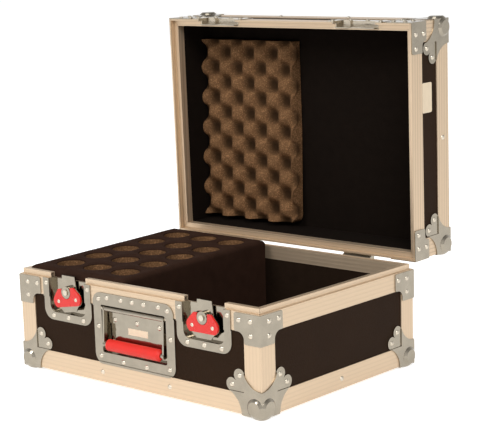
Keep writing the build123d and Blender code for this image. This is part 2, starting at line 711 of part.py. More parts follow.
small_rivet = rivet_head(small_rivet_radius, small_rivet_height)
for side, (x_latch, turn) in latch_sides.items():
    pivot = base_front.from_local_coords((x_latch, -latch_pivot_drop, 0))
    latch = Plane(origin=pivot, x_dir=(cos(radians(turn)), 0, sin(radians(turn))), z_dir=(0, -1, 0))

    with BuildPart() as latch_rotor:
        with BuildSketch(latch.offset(-rotor_back)):
            Circle(rotor_radius)
        extrude(amount=rotor_height)
        with BuildSketch(latch.offset(-shaft_end)):
            Circle(rotor_shaft_radius)
        extrude(amount=shaft_end)
        fold_pin(latch, fold_pin_radius, fold_pin_half_length)
        with BuildSketch(latch.offset(-shaft_end)):
            Circle(pivot_pin_radius + pin_fit)
        extrude(amount=shaft_end + rotor_proud, mode=Mode.SUBTRACT)
    finish(latch_rotor.part, f"latch_rotor_{side}")

    # The hook plate stays upright and has already moved by the share that its rotor has turned.
    moved = hook_direction * (turn / latch_turn)
    upright = Plane(origin=pivot + moved, x_dir=(1, 0, 0), z_dir=(0, -1, 0))
    with BuildPart() as latch_hook:
        with BuildSketch(upright.offset(-hook_front - hook_thick)):
            with BuildLine():
                Polyline((-hook_half_width, 0), (-hook_tip_half_width, hook_top_height),
                         (hook_tip_half_width, hook_top_height), (hook_half_width, 0))
                Spline((hook_half_width, 0), (0, -hook_tail), (-hook_half_width, 0),
                       tangents=((0, -1), (0, 1)))
            make_face()
            slot_low = Vector(0, 0) - Vector(0, hook_slot_clearance)
            slot_high = Vector(0, hook_travel_down + hook_slot_clearance)
            with Locations(slot_low, slot_high):
                Circle(rotor_shaft_radius + hook_slot_clearance, mode=Mode.SUBTRACT)
            with Locations((slot_low + slot_high) / 2):
                Rectangle(2 * (rotor_shaft_radius + hook_slot_clearance),
                          (slot_high - slot_low).length, mode=Mode.SUBTRACT)
        extrude(amount=hook_thick)
        block_at(upright, 0, hook_top_height - hook_thick, hook_top_height, hook_tip_half_width,
                 hook_front + hook_thick, hook_front + hook_thick + hook_nose)
    finish(latch_hook.part, f"latch_hook_{side}")

    with BuildPart() as latch_wing:
        with BuildSketch(latch.offset(-wing_thick)):
            wing_outline(wing_bottom)
        extrude(amount=wing_thick)
        fold_pin(latch, fold_pin_radius + pin_fit, wing_horn, Mode.SUBTRACT)
    finish(latch_wing.part, f"latch_wing_{side}")

    with BuildPart() as latch_wing_grip:
        with BuildSketch(latch):
            wing_outline(grip_bottom)
        extrude(amount=wing_grip_thick)
        fold_pin(latch, fold_pin_radius + pin_fit, wing_horn, Mode.SUBTRACT)
    finish(latch_wing_grip.part, f"latch_wing_grip_{side}")

    grip_front = latch.offset(wing_grip_thick)
    with BuildPart() as latch_wing_rivets:
        with Locations(*[grip_front.location * Location((end * wing_rivet[0], wing_rivet[1], 0))
                         for end in (-1, 1)]):
            add(small_rivet)
    finish(latch_wing_rivets.part, f"latch_wing_rivets_{side}")

# ============================== Hinges ==============================
hinge_section = Plane(origin=(0, hinge_y, hinge_z), x_dir=(0, 1, 0), z_dir=(1, 0, 0))
leaf_outer = -hinge_behind + plate_thick
knuckle_length = (hinge_width - 2 * knuckle_gap) / 3
leaf_low = -leaf_setback - hinge_above
leaf_foot = -rail_leg - hinge_above
lid_leaf_low = leaf_setback + parting_gap - hinge_above
lid_leaf_top = rail_leg + parting_gap - hinge_above


def hinge_slice(x, length, shape):
    """A length of hinge with one section, centred on x. shape draws it about the pin."""
    with BuildSketch(hinge_section.offset(x - length / 2)) as section:
        shape()
    extrude(section.sketch, amount=length)


def base_leaf_shape():
    """Section of the leaf on the base's back."""
    with Locations((-hinge_behind, leaf_foot)):
        Rectangle(plate_thick, leaf_low - leaf_foot, align=Align.MIN)


def base_knuckle_shape():
    """Section of an outer knuckle with its web to the leaf and its stop ear."""
    Circle(knuckle_radius)
    with BuildLine() as web:
        Polyline((-hinge_behind, leaf_low - 2 * plate_thick), (leaf_outer, leaf_low - 2 * plate_thick),
                 (0, -knuckle_radius), (0, 0), (-knuckle_radius, 0), (-hinge_behind, leaf_low),
                 close=True)
    make_face(web.edges())
    with Locations((0, -knuckle_radius / 2)):
        Rectangle(stop_reach, -leaf_outer - stop_gap + knuckle_radius / 2, align=Align.MIN)
    Circle(hinge_pin_radius, mode=Mode.SUBTRACT)


def lid_leaf_shape():
    """Section of the leaf on the lid's back, drawn shut."""
    with Locations((-hinge_behind, lid_leaf_low)):
        Rectangle(plate_thick, lid_leaf_top - lid_leaf_low, align=Align.MIN)


def lid_knuckle_shape():
    """Section of the middle knuckle, which turns on the pin."""
    Circle(knuckle_radius)
    with BuildLine() as web:
        Polyline((-hinge_behind, knuckle_radius + 2 * plate_thick),
                 (leaf_outer, knuckle_radius + 2 * plate_thick), (0, knuckle_radius), (0, 0),
                 (-knuckle_radius, 0), (-hinge_behind, 0), close=True)
    make_face(web.edges())
    Circle(hinge_pin_radius + pin_fit, mode=Mode.SUBTRACT)


with BuildPart() as hinge_base_leaves:
    for x_hinge in (-hinge_offset, hinge_offset):
        hinge_slice(x_hinge, hinge_width, base_leaf_shape)
        for end in (-1, 1):
            hinge_slice(x_hinge + end * (knuckle_length + knuckle_gap), knuckle_length,
                        base_knuckle_shape)
finish(hinge_base_leaves.part, "hinge_base_leaves")

with BuildPart() as hinge_lid_leaves:
    for x_hinge in (-hinge_offset, hinge_offset):
        hinge_slice(x_hinge, hinge_width, lid_leaf_shape)
        hinge_slice(x_hinge, knuckle_length, lid_knuckle_shape)
finish_on_lid(hinge_lid_leaves.part, "hinge_lid_leaves")

with BuildPart() as hinge_pins:
    for x_hinge in (-hinge_offset, hinge_offset):
        rod(hinge_section.offset(x_hinge), (0, 0), hinge_pin_radius, hinge_width / 2)
finish(hinge_pins.part, "hinge_pins")

# ============================== Rivets ==============================
rivet = rivet_head(rivet_radius, rivet_height)


def on_face(face, spots, depth=0):
    """Seats for rivets on a face, at a list of places on it."""
    return [face.offset(-depth).location * Location((x, y, 0)) for x, y in spots]


def corner_seats(frames):
    """Seats on the lobes of ball corners."""
    lobes = ((lobe_far, lobe_near), (lobe_near, lobe_far))
    return [frame * face.location * Location((x, y, 0), (180, 0, 0))
            for frame in frames for face in (Plane.XY, Plane.YZ, Plane.ZX) for x, y in lobes]


def brace_seats(frames):
    """Seats on both plates of the corner braces."""
    return [frame * face.location * Location((x, y, outward * plate_thick), (flip, 0, 0))
            for frame in frames for face, outward, flip in ((Plane.XZ, 1, 0), (Plane.YZ, -1, 180))
            for x, y in brace_rivets]


def dish_seats(face, away, plate_reach):
    """Seats round the latch dishes of one half of the case."""
    seats = []
    for x_latch, _ in latch_sides.values():
        far = away * (plate_reach - dish_rivet_edge)
        seats += on_face(face, [(x_latch + k * dish_rivet_pitch, far) for k in (-1, 0, 1)])
        side_x, side_y = dish_side_rivet
        seats += on_face(face, [(x_latch + k * side_x, away * side_y) for k in (-1, 1)],
                         -plate_thick)
    return seats


def leaf_seats(height, rise):
    """Seats on the hinge leaves of one half of the case."""
    spots = [(x_hinge + end * leaf_rivet_spread / 2, rise)
             for x_hinge in (-hinge_offset, hinge_offset) for end in (-1, 1)]
    return on_face(face_plane("back", height), spots, -plate_thick)


def handle_seats():
    """Seats round the handle's plate and along its ledge."""
    spots = [(share * handle_pocket_half_width, top_rivet_drop) for share in top_rivet_shares]
    spots += [(handle_dish_half_width - edge, drop) for edge, drop in side_rivets]
    spots += [(bottom_rivet[0] * handle_pocket_half_width, bottom_rivet[1])]
    seats = []
    for x, drop in spots:
        depth = -plate_thick if drop < rail_leg else 0
        seats += on_face(base_front, {(x, -drop), (-x, -drop)}, depth)
    ledge_x, ledge_drop = ledge_rivet[0] * handle_pocket_half_width, ledge_rivet[1]
    return seats + on_face(base_front, [(k * ledge_x, -ledge_drop) for k in (-1, 0, 1)], ledge_depth)


def edging_seats(height, away):
    """Seats along the outer edging: two at the front and the back and one at each side."""
    level = away * edging_leg / 2
    pair = [(-edging_rivet_offset, level), (edging_rivet_offset, level)]
    spots = {"front": pair, "back": pair, "left": [(0, level)], "right": [(0, level)]}
    return [seat for side, places in spots.items()
            for seat in on_face(face_plane(side, height), places)]


with BuildPart() as base_rivets:
    with Locations(*corner_seats(corner_frames(z_bottom, upward=True)),
                   *brace_seats(corner_frames(z_shoulder, upward=False)),
                   *dish_seats(base_front, -1, latch_plate_drop),
                   *handle_seats(), *edging_seats(z_bottom, 1),
                   *leaf_seats(z_shoulder, -leaf_rivet_height)):
        add(rivet)
finish(base_rivets.part, "base_rivets")

with BuildPart() as lid_rivets:
    with Locations(*corner_seats(corner_frames(z_top, upward=False)),
                   *brace_seats(corner_frames(z_rim, upward=True)),
                   *dish_seats(lid_front, 1, keeper_plate_rise),
                   *edging_seats(z_top, -1), *leaf_seats(z_rim, leaf_rivet_height)):
        add(rivet)
finish_on_lid(lid_rivets.part, "lid_rivets")

# ============================== Microphone block ==============================
block_left = -x_out + inside + block_clearance
block_right = block_left + block_width
block_front = -y_out + inside + block_clearance
block_back = block_front + block_length
block_floor = board_thick + lining_thick
block_centre = (block_left + block_right) / 2
bore_field_y = (block_front + block_back) / 2 + bore_field_shift
bore_floor = z_shoulder + (block_front_lift + block_back_lift) / 2 - bore_depth
skirt_low = z_shoulder + block_front_lift - plush_skirt


def block_form(margin):
    """The block inside its plush, or the plush's outside with no margin: its top climbs to the back."""
    with BuildPart() as form:
        with BuildSketch(Plane.YZ.offset(block_left + margin)):
            with BuildLine():
                Polyline((block_front + margin, block_floor), (block_back - margin, block_floor),
                         (block_back - margin, z_shoulder + block_back_lift - margin),
                         (block_front + margin, z_shoulder + block_front_lift - margin), close=True)
            make_face()
        extrude(amount=block_width - 2 * margin)
        top = form.faces().sort_by(Axis.Z)[-1]
        fillet(top.edges(), block_edge_radius - margin)
    return form.part


def cut_bores():
    """The bores of the microphones, straight down from the top."""
    with BuildSketch(Plane.XY.offset(bore_floor)) as bores:
        with Locations((block_centre, bore_field_y)):
            with GridLocations(bore_pitch, bore_pitch, bore_columns, bore_rows):
                Circle(bore_diameter / 2)
    extrude(bores.sketch, amount=z_shoulder + base_height - bore_floor, mode=Mode.SUBTRACT)


with BuildPart() as mic_block_divider:
    with BuildSketch(Plane.XY.offset(block_floor)):
        with Locations((block_right - divider_thick, block_front)):
            Rectangle(divider_thick, block_back - block_front, align=Align.MIN)
    extrude(amount=skirt_low - block_floor)
finish(mic_block_divider.part, "mic_block_divider")

with BuildPart() as mic_foam_block:
    add(block_form(plush_thick))
    add(mic_block_divider.part, mode=Mode.SUBTRACT)
    cut_bores()
finish(mic_foam_block.part, "mic_foam_block")

with BuildPart() as mic_block_cover:
    add(block_form(0))
    add(block_form(plush_thick), mode=Mode.SUBTRACT)
    with BuildSketch(Plane.XY.offset(block_floor)):
        Rectangle(case_width, case_depth)
    extrude(amount=skirt_low - block_floor, mode=Mode.SUBTRACT)
    cut_bores()
finish(mic_block_cover.part, "mic_block_cover")


# ============================== Egg-crate pad ==============================
def crate_profile(direction):
    """Half the section of a bump, or of a pit with direction -1, by two arcs that meet level."""
    half_relief = direction * pad_relief / 2
    middle = (pad_bump_radius / 2, half_relief / 2)
    with BuildLine() as profile:
        crown = TangentArc((0, half_relief), middle, tangent=(1, 0))
        TangentArc(crown @ 1, (pad_bump_radius, 0), tangent=crown % 1)
        Polyline((pad_bump_radius, 0), (0, 0), (0, half_relief))
    make_face(profile.edges())


def crate_knob(direction):
    """A bump or a pit of the pad, round the Z axis."""
    with BuildPart() as knob:
        with BuildSketch(Plane.XZ):
            crate_profile(direction)
        revolve(axis=Axis.Z)
    return knob.part


pad_ceiling = z_top - inside
pad_x = -x_out + inside + pad_left + pad_width / 2
pad_y = y_out - inside - pad_hinge_gap - pad_length / 2
columns = int(pad_width / pad_pitch / 2) + 1
rows = int(pad_length / pad_pitch / 2) + 1
lattice = [(i, j) for i in range(-columns, columns + 1) for j in range(-rows, rows + 1)]
mid_level = Plane(origin=(pad_x, pad_y, pad_ceiling - pad_thick + pad_relief / 2),
                  x_dir=(1, 0, 0), z_dir=(0, 0, -1))


def crate_seats(parity):
    """Places of the bumps (parity 0) or the pits (parity 1) that lie on the pad."""
    reach_x = (pad_width + pad_bump_radius) / 2
    reach_y = (pad_length + pad_bump_radius) / 2
    return [mid_level.location * Location((i * pad_pitch, j * pad_pitch, 0)) for i, j in lattice
            if (i + j) % 2 == parity and abs(i) * pad_pitch < reach_x and abs(j) * pad_pitch < reach_y]


with BuildPart() as lid_foam_pad:
    with BuildSketch(mid_level):
        Rectangle(pad_width, pad_length)
    extrude(amount=-(pad_thick - pad_relief / 2))
    with Locations(*crate_seats(0)):
        add(crate_knob(1))
    with Locations(*crate_seats(1)):
        add(crate_knob(-1), mode=Mode.SUBTRACT)
    with BuildSketch(Plane.XY.offset(pad_ceiling)) as outline:
        with Locations((pad_x, pad_y)):
            Rectangle(pad_width, pad_length)
        fillet(nearest_corner(outline, pad_x + pad_width, pad_y + pad_length), pad_corner_radius)
    extrude(amount=-pad_thick, mode=Mode.INTERSECT)
finish_on_lid(lid_foam_pad.part, "lid_foam_pad")

# ============================== Sticker ==============================
with BuildPart() as lid_sticker:
    with BuildSketch(face_plane("right", z_rim).offset(-board_front)):
        with Locations((-y_out + sticker_behind_front, sticker_rise)):
            RectangleRounded(sticker_length, sticker_width, sticker_radius)
    extrude(amount=sticker_thick)
finish_on_lid(lid_sticker.part, "lid_sticker")
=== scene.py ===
"""A microphone transport case, standing open: finishes, soft pieces and a plain studio."""
from functools import lru_cache
from math import cos, hypot, pi, radians, sin

import bmesh
import bpy
from bpy.props import FloatProperty, FloatVectorProperty, PointerProperty
from mathutils import Matrix, Vector, noise


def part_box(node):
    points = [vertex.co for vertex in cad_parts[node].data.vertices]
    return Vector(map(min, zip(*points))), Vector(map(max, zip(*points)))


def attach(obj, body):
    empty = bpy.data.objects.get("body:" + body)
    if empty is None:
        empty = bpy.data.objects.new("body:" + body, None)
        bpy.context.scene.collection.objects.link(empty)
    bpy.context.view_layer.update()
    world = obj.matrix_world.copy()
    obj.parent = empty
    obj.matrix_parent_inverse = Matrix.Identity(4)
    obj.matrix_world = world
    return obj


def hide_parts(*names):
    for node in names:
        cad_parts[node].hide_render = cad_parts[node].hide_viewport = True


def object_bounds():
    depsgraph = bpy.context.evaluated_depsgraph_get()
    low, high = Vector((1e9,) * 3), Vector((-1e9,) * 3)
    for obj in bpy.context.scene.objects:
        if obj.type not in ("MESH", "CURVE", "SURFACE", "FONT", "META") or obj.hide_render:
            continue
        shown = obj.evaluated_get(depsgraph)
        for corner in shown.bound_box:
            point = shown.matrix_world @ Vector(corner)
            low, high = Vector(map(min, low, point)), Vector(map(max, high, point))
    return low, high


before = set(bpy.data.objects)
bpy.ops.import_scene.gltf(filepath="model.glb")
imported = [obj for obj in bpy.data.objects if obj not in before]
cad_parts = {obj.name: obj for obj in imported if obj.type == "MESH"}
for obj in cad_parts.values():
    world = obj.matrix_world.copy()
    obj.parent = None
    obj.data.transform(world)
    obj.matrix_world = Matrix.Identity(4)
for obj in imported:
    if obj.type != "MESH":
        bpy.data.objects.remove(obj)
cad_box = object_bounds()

bl_info = {
    "name": "Microphone transport case",
    "version": (1, 0, 0),
    "blender": (4, 5, 0),
    "location": "3D View > Sidebar > Case",
    "description": "Dresses an open microphone transport case and lights it",
    "category": "Add Mesh",
}

MM = 0.001


# ---- Colours, panel fields and nodes ----
def linear(code):
    """An sRGB hex colour as linear red, green, blue and alpha."""
    channels = [int(code[i:i + 2], 16) / 255 for i in (1, 3, 5)]
    return [c / 12.92 if c <= 0.04045 else ((c + 0.055) / 1.055) ** 2.4 for c in channels] + [1.0]


def times(colour, factor):
    """A colour made lighter or darker, and still opaque."""
    return [min(1.0, c * factor) for c in colour[:3]] + [1.0]


def colour_property(name, code, description):
    """A colour of the panel whose default is an sRGB hex value."""
    return FloatVectorProperty(name=name, description=description, subtype="COLOR", size=4,
                               min=0.0, max=1.0, default=linear(code))


def length_property(name, millimetres, description):
    """A length of the panel, given in millimetres."""
    return FloatProperty(name=name, description=description, unit="LENGTH", subtype="DISTANCE",
                         default=millimetres * MM, min=0.0, precision=4)


def node(tree, kind, settings=None, **inputs):
    """Adds a node, sets its fields and its sockets, and links the sockets that are given one.
    A socket goes by its name, with _ for each space, or by i and its number."""
    made = tree.nodes.new(kind)
    for field, value in (settings or {}).items():
        setattr(made, field, value)
    for key, value in inputs.items():
        name = key.replace("_", " ")
        socket = made.inputs[int(key[1:])] if key[1:].isdigit() else made.inputs[name]
        if isinstance(value, bpy.types.NodeSocket):
            tree.links.new(value, socket)
        else:
            socket.default_value = value
    return made


class CaseColours(bpy.types.PropertyGroup):
    """Colours of the case and of its floor"""
    laminate: colour_property("Laminate", "#2b1c10", "Dark laminate of the boards")
    aluminium: colour_property("Edging", "#d5bda0", "Anodised aluminium of the edging and rails")
    zinc: colour_property("Zinc plate", "#989082", "Pressed, zinc-plated steel")
    bright_steel: colour_property("Bright steel", "#c9bfae", "Rivet heads and pins")
    # Painted light: the keeper dishes' zinc plate, made brighter for the light that they catch.
    keeper: colour_property("Keeper dish", "#b3a999", "Brighter plate of the lid's keeper dishes")
    grip: colour_property("Handle grip", "#ea2a1e", "Red grip of the handle")
    wing: colour_property("Latch wing", "#e8251c", "Red cover of the latch wings")
    lid_lining: colour_property("Lid lining", "#17110d", "Flocked lining of the lid")
    base_lining: colour_property("Base lining", "#261b13", "Flocked lining of the base")
    plush: colour_property("Plush", "#33221a", "Plush over the microphone block")
    foam: colour_property("Foam", "#966f4d", "Open-cell foam")
    label: colour_property("Label", "#fbe6c8", "Bare label stock")
    floor: colour_property("Floor", "#f6f5f3", "Floor that the case stands on")


class CaseSizes(bpy.types.PropertyGroup):
    """Sizes of the finishes and of the soft pieces"""
    edge_round: length_property("Edge round", 0.5, "Rounding of the metal and plastic edges")
    ridge: length_property("Extrusion ridge", 6.2, "Pitch of the ridges along the edging")
    laminate_grain: length_property("Laminate grain", 2.4, "Pitch of the pressed texture")
    foam_cell: length_property("Foam cell", 1.6, "Size of the foam's open cells")
    plush_tuft: length_property("Plush tuft", 1.8, "Size of the plush's tufts")
    flock_fibre: length_property("Flock fibre", 1.4, "Clumps of the flocked lining")
    crown: length_property("Plush crown", 1.6, "How far the plush stands up between the bores")
    pad_relief: length_property("Egg-crate relief", 15.0, "From the pits to the bumps of the pad")


def colours():
    """The colours as the panel has them."""
    return bpy.context.scene.case_colours


def sizes():
    """The sizes as the panel has them."""
    return bpy.context.scene.case_sizes


# ---- Materials ----
GROOVE_SHADE_WAVE = (0.3, 0.9)            # heights of the ridge wave where the painted shade of a furrow starts and is full
GROOVE_SHADE = (0.52, 0.50, 0.48)    # painted shade: a full furrow's share of the edging's red, green and blue
PLATE_DRIFT = 0.06                  # how far the roughness of zinc plate drifts either way
POCKET_START = -179.5 * MM          # Y behind the riveted rims of the dishes in the base's front
PIT_SHADE_ATTRIBUTE = "hollow"                   # mesh attribute for painted shade: 0 on a bump of the pad, 1 deep in a pit

# Shares of the foam's colour: on shaded and on lit struts, and painted shade in a cell's opening
# and deep in a pit.
STRUT_DARK, STRUT_LIT, CELL_OPENING_SHADE, PIT_SHADE_DARK = 0.72, 1.5, 0.35, 0.13


def new_material(name, **finish):
    """A material with its node tree, its shader, whose finish is given by socket, and the place
    on the object in metres."""
    material = bpy.data.materials.new(name)
    material.use_nodes = True
    tree = material.node_tree
    tree.nodes.clear()
    shader = node(tree, "ShaderNodeBsdfPrincipled", **finish)
    node(tree, "ShaderNodeOutputMaterial", Surface=shader.outputs["BSDF"])
    place = node(tree, "ShaderNodeTexCoord").outputs["Object"]
    return material, tree, shader, place


def varied(tree, place, base, spread, pitch, detail=3.0):
    """A colour that drifts lighter and darker round its base, over patches of one pitch, and the
    pattern of the patches."""
    patches = node(tree, "ShaderNodeTexNoise", Vector=place, Scale=1 / pitch, Detail=detail)
    mixed = node(tree, "ShaderNodeMix", {"data_type": "RGBA"}, i0=patches.outputs["Fac"],
                 i6=times(base, 1 - spread), i7=times(base, 1 + spread))
    return mixed.outputs[2], patches.outputs["Fac"]


def coloured(tree, shader, place, base, spread, pitch, detail=3.0):
    """Gives the shader such a varied colour, and returns the pattern of its patches."""
    colour, patches = varied(tree, place, base, spread, pitch, detail)
    tree.links.new(colour, shader.inputs["Base Color"])
    return patches


def roughened(tree, shader, height, low, high):
    """Roughness that follows a pattern between two limits."""
    limits = node(tree, "ShaderNodeMapRange", Value=height, To_Min=low, To_Max=high)
    tree.links.new(limits.outputs["Result"], shader.inputs["Roughness"])


def bumped(tree, shader, height, depth, strength):
    """A bump of a real depth in metres on the shader."""
    bump = node(tree, "ShaderNodeBump", Strength=strength, Distance=depth, Height=height)
    tree.links.new(bump.outputs["Normal"], shader.inputs["Normal"])


def laminate_board():
    """Phenolic laminate pressed on plywood: a leathery grain, coarser than life so that it shows,
    breaks up a dull, dark gloss."""
    material, tree, shader, place = new_material("pressed_phenolic_laminate", IOR=1.5,
                                                 Specular_IOR_Level=0.06)
    coloured(tree, shader, place, colours().laminate, spread=0.18, pitch=60 * MM)
    grain = node(tree, "ShaderNodeTexVoronoi", Vector=place,
                 Scale=1 / sizes().laminate_grain).outputs["Distance"]
    roughened(tree, shader, grain, low=0.5, high=0.68)
    bumped(tree, shader, grain, depth=0.25 * MM, strength=0.5)
    return material


def frame_reach(tree, place, piece):
    """Distance across the faces of an upright frame: in from its outer edge plus out from its
    middle along Y, so that it stays the same all along each side and turns the corners."""
    low, high = (Vector(corner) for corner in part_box(piece))
    offset = node(tree, "ShaderNodeVectorMath", {"operation": "SUBTRACT"}, i0=place,
                  i1=(low + high) / 2)
    away = node(tree, "ShaderNodeVectorMath", {"operation": "ABSOLUTE"}, i0=offset.outputs[0])
    inwards = node(tree, "ShaderNodeVectorMath", {"operation": "SUBTRACT"}, i0=(high - low) / 2,
                   i1=away.outputs[0])
    sides = node(tree, "ShaderNodeSeparateXYZ", Vector=inwards.outputs[0])
    inset = node(tree, "ShaderNodeMath", {"operation": "MINIMUM"}, i0=sides.outputs["X"],
                 i1=sides.outputs["Z"])
    return node(tree, "ShaderNodeMath", {"operation": "SUBTRACT"}, i0=inset.outputs[0],
                i1=sides.outputs["Y"]).outputs[0]


def anodised_aluminium(piece, across, groove_shade):
    """Satin anodised extrusion: the oxide coat dulls the metal, and the die leaves fine ridges
    along it. They are drawn a little coarser than life, so that they show, with painted shade in
    the furrows between them. across is the direction over the ridges, or None where they go
    round an upright frame."""
    material, tree, shader, place = new_material("extruded_anodised_aluminium_" + piece,
                                                 Metallic=0.6)
    base = colours().aluminium
    colour, drift = varied(tree, place, base, spread=0.04, pitch=45 * MM)
    if across is None:
        reach = frame_reach(tree, place, piece)
    else:
        reach = node(tree, "ShaderNodeVectorMath", {"operation": "DOT_PRODUCT"}, i0=place,
                     i1=across).outputs["Value"]
    turns = node(tree, "ShaderNodeMath", {"operation": "MULTIPLY"}, i0=reach,
                 i1=2 * pi / sizes().ridge)
    wave = node(tree, "ShaderNodeMath", {"operation": "SINE"}, i0=turns.outputs[0])
    # Painted shade: dark stripes along the ridges stand for the shade in their furrows.
    groove_shading = node(tree, "ShaderNodeMapRange", Value=wave.outputs[0], From_Min=GROOVE_SHADE_WAVE[0],
                   From_Max=GROOVE_SHADE_WAVE[1], To_Min=0.0, To_Max=groove_shade)
    groove_shaded = node(tree, "ShaderNodeMix", {"data_type": "RGBA"}, i0=groove_shading.outputs["Result"],
                  i6=colour, i7=[c * tint for c, tint in zip(base, GROOVE_SHADE)] + [1.0])
    tree.links.new(groove_shaded.outputs[2], shader.inputs["Base Color"])
    roughened(tree, shader, drift, low=0.34, high=0.46)
    bumped(tree, shader, wave.outputs[0], depth=0.06 * MM, strength=0.6)
    return material


def zinc_plated_steel(name, tint, dull, pocket=None):
    """Pressed steel, zinc plated: grey and a little cloudy and rippled, as it leaves the press.
    dull is the plate's roughness. pocket is that of a dish's drawn pocket, where there is one:
    the draw leaves it smooth enough to mirror the room."""
    material, tree, shader, place = new_material(name, Metallic=1.0)
    cloud = coloured(tree, shader, place, tint, spread=0.20, pitch=20 * MM, detail=4.0)
    roughness = node(tree, "ShaderNodeMapRange", Value=cloud, To_Min=dull - PLATE_DRIFT,
                     To_Max=dull + PLATE_DRIFT).outputs["Result"]
    if pocket is not None:
        depth = node(tree, "ShaderNodeSeparateXYZ", Vector=place).outputs["Y"]
        drawn = node(tree, "ShaderNodeMapRange", Value=depth, From_Min=POCKET_START,
                     From_Max=POCKET_START + 1.0 * MM).outputs["Result"]
        roughness = node(tree, "ShaderNodeMix", i0=drawn, i2=roughness, i3=pocket).outputs[0]
    tree.links.new(roughness, shader.inputs["Roughness"])
    ripple = node(tree, "ShaderNodeTexNoise", Vector=place, Scale=1 / (12 * MM), Detail=1.0)
    bumped(tree, shader, ripple.outputs["Fac"], depth=0.5 * MM, strength=0.6)
    return material


def bright_steel():
    """Plated rivet heads and pins: smooth enough to catch a highlight each."""
    material, tree, shader, place = new_material("bright_plated_steel", Metallic=1.0)
    cloud = coloured(tree, shader, place, colours().bright_steel, spread=0.12, pitch=6 * MM)
    roughened(tree, shader, cloud, low=0.26, high=0.38)
    return material


def moulded_red(name, colour, low, high):
    """Injection-moulded red rubber or plastic: a faint mould texture, and a gloss that hands have
    rubbed unevenly between two roughnesses."""
    material, tree, shader, place = new_material(name, IOR=1.5)
    drift = coloured(tree, shader, place, colour, spread=0.07, pitch=12 * MM)
    roughened(tree, shader, drift, low, high)
    grain = node(tree, "ShaderNodeTexNoise", Vector=place, Scale=1 / (1.2 * MM), Detail=2.0)
    bumped(tree, shader, grain.outputs["Fac"], depth=0.08 * MM, strength=0.4)
    return material


def fibrous(name, colour, clump, spread, depth, sheen):
    """Fabric with a nap: clumps of fibre take the light unevenly and the rim stays soft. Single
    fibres are too fine to show, so the clumps stand for them."""
    material, tree, shader, place = new_material(
        name, Roughness=0.95, Specular_IOR_Level=0.05, Sheen_Weight=sheen, Sheen_Roughness=0.5,
        Sheen_Tint=colour)
    coloured(tree, shader, place, colour, spread, pitch=10 * clump, detail=4.0)
    nap = node(tree, "ShaderNodeTexNoise", Vector=place, Scale=1 / clump, Detail=4.0,
               Roughness=0.7)
    bumped(tree, shader, nap.outputs["Fac"], depth, strength=0.8)
    return material


def open_cell_foam():
    """Open-cell polyurethane foam: a web of struts, a little coarser than life, so single cells
    catch the light and others stay dark. Painted shade darkens each cell away from its middle,
    and darkens the pad deep in the pits between its bumps."""
    material, tree, shader, place = new_material("open_cell_foam", Roughness=0.95,
                                                 Specular_IOR_Level=0.05)
    base = colours().foam
    cells = node(tree, "ShaderNodeTexVoronoi", Vector=place, Scale=1 / sizes().foam_cell)
    chance = node(tree, "ShaderNodeSeparateColor", Color=cells.outputs["Color"])
    lit = node(tree, "ShaderNodeMapRange", Value=chance.outputs[0], From_Min=0.55, From_Max=1.0)
    struts = node(tree, "ShaderNodeMix", {"data_type": "RGBA"}, i0=lit.outputs["Result"],
                  i6=times(base, STRUT_DARK), i7=times(base, STRUT_LIT))
    # Painted shade: the foam darkens away from each cell's middle, for the shade in its open
    # cells.
    opening_shade = node(tree, "ShaderNodeMapRange", Value=cells.outputs["Distance"], From_Min=0.1,
                    From_Max=0.7, To_Min=0.0, To_Max=0.55)
    web = node(tree, "ShaderNodeMix", {"data_type": "RGBA"}, i0=opening_shade.outputs["Result"],
               i6=struts.outputs[2], i7=times(base, CELL_OPENING_SHADE))
    # Painted shade: the foam darkens deep in the pits of the pad.
    hollow = node(tree, "ShaderNodeAttribute", {"attribute_name": PIT_SHADE_ATTRIBUTE})
    pit_shaded = node(tree, "ShaderNodeMix", {"data_type": "RGBA"}, i0=hollow.outputs["Fac"],
                i6=web.outputs[2], i7=times(base, PIT_SHADE_DARK))
    tree.links.new(pit_shaded.outputs[2], shader.inputs["Base Color"])
    bumped(tree, shader, cells.outputs["Distance"], depth=1.0 * MM, strength=0.9)
    return material


def label_stock():
    """Plain coated paper label: matt, and slightly yellowed in patches."""
    material, tree, shader, place = new_material("coated_label_paper")
    drift = coloured(tree, shader, place, colours().label, spread=0.05, pitch=9 * MM)
    roughened(tree, shader, drift, low=0.55, high=0.7)
    return material


# ---- Mesh helpers ----
EDGE_SEGMENTS, EDGE_ANGLE = 2, 50       # facets of the rounding, and the least angle it rounds


def mesh_object(name, body, material, build, smooth_angle):
    """A mesh piece that a function fills, riding on a body, with a material. Its shading is smooth
    but for the edges sharper than an angle in degrees."""
    mesh = bpy.data.meshes.new(name)
    piece = bpy.data.objects.new(name, mesh)
    bpy.context.scene.collection.objects.link(piece)
    bm = bmesh.new()
    build(bm)
    bmesh.ops.recalc_face_normals(bm, faces=bm.faces)
    bm.to_mesh(mesh)
    bm.free()
    mesh.materials.append(material)
    with bpy.context.temp_override(object=piece, active_object=piece, selected_objects=[piece],
                                   selected_editable_objects=[piece]):
        bpy.ops.object.shade_smooth_by_angle(angle=radians(smooth_angle))
    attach(piece, body)
    return piece


def bridge(bm, rings):
    """Faces between each closed ring of vertices and the next."""
    for ring, following in zip(rings, rings[1:]):
        for k in range(len(ring)):
            n = (k + 1) % len(ring)
            bm.faces.new((ring[k], following[k], following[n], ring[n]))


def dress(names, material, round_edges=True):
    """Gives CAD nodes a material and, on metal and plastic, a fine rounding that catches the
    light."""
    for name in names:
        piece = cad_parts[name]
        piece.data.materials.clear()
        piece.data.materials.append(material)
        if round_edges:
            bevel = piece.modifiers.new("edge_round", "BEVEL")
            bevel.width, bevel.segments = sizes().edge_round, EDGE_SEGMENTS
            bevel.limit_method, bevel.angle_limit = "ANGLE", radians(EDGE_ANGLE)
            bevel.harden_normals = True


